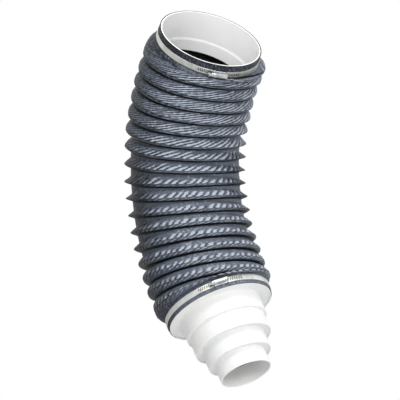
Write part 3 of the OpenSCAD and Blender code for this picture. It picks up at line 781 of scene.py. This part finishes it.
def housing_piece(name, cuff, axis, matrix):
    """The screw's housing: sheet metal bent over the screw as an omega. Its middle line runs
    up a side wall, across a flange, round the screw and back down, 0.4 mm from both faces."""
    inner = cuff + SOFT_GAP
    foot = inner * math.cos(math.asin(HOUSING_L / 2 / inner)) + 0.2
    wall = BAND_W / 2 + SCREW_GAP + PLATE_T / 2
    bore, half_t = SCREW_D / 2 + SCREW_GAP, PLATE_T / 2
    level = axis - bore * 0.75
    a = np.radians(np.linspace(-38, 218, 41))
    arch = np.stack([axis + (bore + half_t) * np.sin(a), (bore + half_t) * np.cos(a)], -1)
    side = np.array([[foot, wall], [level - 1.2, wall], [level - 0.5, wall - 0.1],
                     [level, wall - 0.7]])
    path = np.concatenate([side, arch, (side * [1, -1])[::-1]])
    along = unit(np.gradient(path, axis=0))
    out = np.stack([-along[:, 1], along[:, 0]], -1)
    loop = np.concatenate([path + half_t * out, (path - half_t * out)[::-1]])
    end = HOUSING_L / 2
    y = np.concatenate([[-end], np.linspace(-end + 0.3, end - 0.3, 12), [end]])
    thin = np.where(np.abs(y) > end - 0.1, 0.6, 1.0)[:, None, None]
    middle = np.concatenate([path, path[::-1]])
    section = middle + (loop - middle) * thin
    y_grid = np.repeat(y[:, None], len(loop), 1)
    points = np.stack([section[:, :, 0], y_grid, section[:, :, 1]], -1)
    faces, uvs = strip_faces(len(y), len(loop))
    return solid_piece(name, points, faces, uvs, matrix, ZINC)


def screw_piece(name, axis, matrix):
    """The worm screw: a helical thread of rounded crests on a core, a washer face and a hexagon
    head, r = a / cos(angle from the flat's middle), with chamfered ends and a cut slot."""
    columns = 72
    around = 2 * math.pi * np.arange(columns) / columns
    core, start, neck = SCREW_D / 2 - THREAD_H, -HOUSING_L / 2 + 1, HOUSING_L / 2 + 0.5
    z = np.arange(start, neck - 1.2, 0.12)
    crest = 0.5 - np.abs(np.mod(z[:, None] / THREAD_PITCH - around / (2 * math.pi), 1) - 0.5)
    run = ease((z - start) / 1.0) * ease((neck - 1.4 - z) / 1.0)
    thread = core + THREAD_H * ease((crest - 0.08) / 0.24) * run[:, None]
    washer, flat = HEAD_AF * 1.15 / 2, HEAD_AF / 2
    hexagon = flat / np.cos(np.mod(around, math.pi / 3) - math.pi / 6)
    top = neck + 0.5 + HEAD_L
    rise = np.array([1.0, 1.3, 1.7, 2.4, HEAD_L - 1.6, HEAD_L - 0.9, HEAD_L - 0.4,
                     HEAD_L - 0.02])
    cone = flat + 0.15 + 1.6 * np.minimum(rise - 0.9, HEAD_L - rise)
    head = np.minimum(hexagon[None, :], cone[:, None])
    face_r = np.linspace(flat * 0.98, POLE, 20)
    x = face_r[:, None] * np.cos(around)[None, :]
    face_z = top - 1.4 * ease((0.7 - np.abs(x)) / 0.2 + 0.5)
    full = np.ones(columns)
    radii = np.concatenate([[POLE * full, 0.9 * core * full], thread,
                            [core * full, washer * full, washer * full], head,
                            np.minimum(face_r[:, None], hexagon[None, :])])
    heights = np.concatenate([[start * full, start * full], z[:, None] * full,
                              [(neck - 0.1) * full, (neck - 0.1) * full, (neck + 0.9) * full],
                              (neck + 0.5 + rise)[:, None] * full, face_z])
    turned = np.eye(4)
    turned[:3, 0], turned[:3, 1], turned[:3, 2] = (1, 0, 0), (0, 0, 1), (0, -1, 0)
    turned[0, 3] = axis
    return turned_piece(name, radii, heights, matrix @ turned, ZINC)


def make_clamp(where, matrix, cuff, body):
    """A flat band round the cuff, its slotted tail, two rivets, the housing and the screw."""
    inner = cuff + SOFT_GAP
    tail = inner + BAND_T + TAIL_GAP
    axis = tail + BAND_T + TAIL_GAP + SCREW_D / 2
    outer, h = inner + BAND_T, BAND_W / 2
    section = rounded_loop([(inner, -h), (outer, -h), (outer, h), (inner, h)], 0.3)
    pieces = [ring_piece(f"{where}_band", section, matrix, STEEL, 288),
              tail_piece(f"{where}_tail", tail, matrix)]
    at = math.asin(HOUSING_L / 2 / tail) + math.radians(TAIL_ANGLE - 2)
    for k, side in enumerate((-1, 1)):
        rivet = np.eye(4)
        rivet[:3, 0], rivet[:3, 1] = (-math.sin(at), math.cos(at), 0), (0, 0, 1)
        rivet[:3, 2] = (math.cos(at), math.sin(at), 0)
        rivet[:3, 3] = tail * rivet[:3, 2] + (0, 0, side * BAND_W / 4)
        dome = [(POLE, 0.3), (1.0, 0.3), (1.0, 0.85), (0.8, 1.05), (0.45, 1.15), (POLE, 1.18)]
        name = f"{where}_rivet_{k + 1}"
        pieces.append(ring_piece(name, dome, matrix @ rivet, ZINC, 24))
    for piece in pieces:
        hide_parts(f"{where}_clamp_band")
        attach(piece, body)
    housing = housing_piece(f"{where}_housing", cuff, axis, matrix)
    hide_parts(f"{where}_clamp_housing")
    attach(housing, body)
    screw = screw_piece(f"{where}_screw", axis, matrix)
    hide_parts(f"{where}_clamp_screw")
    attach(screw, f"{where}_screw")


def make_clamps():
    for where, station, sign, turned, back, cuff in (
            ("upper", INLET_STATION, 1, UPPER_HOUSING_AT, UPPER_BAND, UPPER_CUFF_R),
            ("lower", REDUCER_STATION, -1, LOWER_HOUSING_AT, LOWER_BAND, LOWER_CUFF_R)):
        matrix = end_frame(station, sign, turned)
        matrix[:3, 3] -= back * matrix[:3, 2]
        make_clamp(where, matrix, cuff, f"{where}_end")


make_hose()
make_collar()
make_reducer()
make_clamps()

# ---------------------------------------------------------------- camera, floor and light
RIGHT = Vector((0.56476, 0.824, -0.04489)).normalized()
TOWARD = Vector((0.82513, -0.5632, 0.04391))
TOWARD = (TOWARD - TOWARD.dot(RIGHT) * RIGHT).normalized()
UP = TOWARD.cross(RIGHT)
middle = Vector(centre(0.0) * MM)
camera_data = bpy.data.cameras.new("camera")
camera_data.lens, camera_data.sensor_width = 315, 36
camera_data.clip_start, camera_data.clip_end = 0.1, 100
camera = bpy.data.objects.new("camera", camera_data)
stand = middle + 0.02272 * RIGHT - 0.0329 * UP + 5.3442 * TOWARD
turned = Matrix((RIGHT, UP, TOWARD)).transposed().to_4x4()
camera.matrix_world = Matrix.Translation(stand) @ turned
bpy.context.scene.collection.objects.link(camera)
bpy.context.scene.camera = camera


def backdrop_white(name, colour):
    """A plain material that the camera sees as white, and that lights the object as its own
    colour does."""
    material = bpy.data.materials.new(name)
    material.use_nodes = True
    tree = material.node_tree
    tree.nodes.clear()
    output = tree.nodes.new("ShaderNodeOutputMaterial")
    path, mix = tree.nodes.new("ShaderNodeLightPath"), tree.nodes.new("ShaderNodeMixShader")
    diffuse, glow = tree.nodes.new("ShaderNodeBsdfDiffuse"), tree.nodes.new("ShaderNodeEmission")
    diffuse.inputs["Color"].default_value = colour
    glow.inputs["Strength"].default_value = 1.0
    tree.links.new(path.outputs["Is Camera Ray"], mix.inputs[0])
    tree.links.new(diffuse.outputs[0], mix.inputs[1])
    tree.links.new(glow.outputs[0], mix.inputs[2])
    tree.links.new(mix.outputs[0], output.inputs["Surface"])
    return material


def make_floor():
    """A round plain floor a little under the object."""
    under, reach, sides = 100, 8000, 64
    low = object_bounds()[0].z / MM - under
    k = np.arange(sides)
    around = 2 * math.pi * k / sides
    ring = np.stack([reach * np.cos(around), reach * np.sin(around), np.full(sides, low)], -1)
    floor = build("floor", np.concatenate([ring, [[0, 0, low]]]),
                  [np.stack([k, (k + 1) % sides, np.full(sides, sides)], 1)])
    floor.data.materials.append(backdrop_white("floor_white", linear(240, 240, 240)))


def make_lamp(name, at, towards, size, watts):
    """A round soft lamp of a size in metres at a place, turned towards another."""
    data = bpy.data.lights.new(name, "AREA")
    data.shape, data.size, data.energy = "DISK", size, watts
    lamp = bpy.data.objects.new(name, data)
    facing = (at - towards).to_track_quat("Z", "Y").to_matrix().to_4x4()
    lamp.matrix_world = Matrix.Translation(at) @ facing
    bpy.context.scene.collection.objects.link(lamp)


make_floor()
mouth = Vector(centre(INLET_STATION) * MM)
outlet = Vector(centre(REDUCER_STATION) * MM) - 0.07 * UP + 0.03 * RIGHT
# Each lamp's name, what it is turned to, its way right, up and towards the camera from there,
# its size and its watts
for name, aim, right, up, toward, size, watts in (
        ("key", middle, 0.95, 0.81, 2.40, 0.7, 25), ("top", middle, 0.52, 2.34, 1.17, 1.2, 17),
        ("mouth", mouth, -0.24, 0.39, 0.53, 0.35, 2.7), ("outlet", outlet, 0.10, -0.10, 0.45, 0.2, 0.18),
        ("side", middle, 2.30, 0.69, -0.23, 1.0, 7.5)):
    make_lamp(name, aim + right * RIGHT + up * UP + toward * TOWARD, aim, size, watts)

world = bpy.data.worlds.new("studio")
bpy.context.scene.world = world
world.use_nodes = True
sky = world.node_tree
background = sky.nodes["Background"]
path = sky.nodes.new("ShaderNodeLightPath")
seen, clear, level = (sky.nodes.new("ShaderNodeMath") for _ in range(3))
seen.operation = clear.operation = "MAXIMUM"
level.operation = "MULTIPLY_ADD"
# The light on the object, and what is added to it where the background is seen
SKY_LIGHT, SKY_SEEN = 0.44, 0.56
level.inputs[1].default_value, level.inputs[2].default_value = SKY_SEEN, SKY_LIGHT
background.inputs["Color"].default_value = (1, 1, 1, 1)
sky.links.new(path.outputs["Is Camera Ray"], seen.inputs[0])
sky.links.new(path.outputs["Is Transmission Ray"], clear.inputs[0])
sky.links.new(path.outputs["Is Glossy Ray"], clear.inputs[1])
sky.links.new(clear.outputs[0], seen.inputs[1])
sky.links.new(seen.outputs[0], level.inputs[0])
sky.links.new(level.outputs[0], background.inputs["Strength"])
bpy.context.scene.view_settings.view_transform = "Standard"
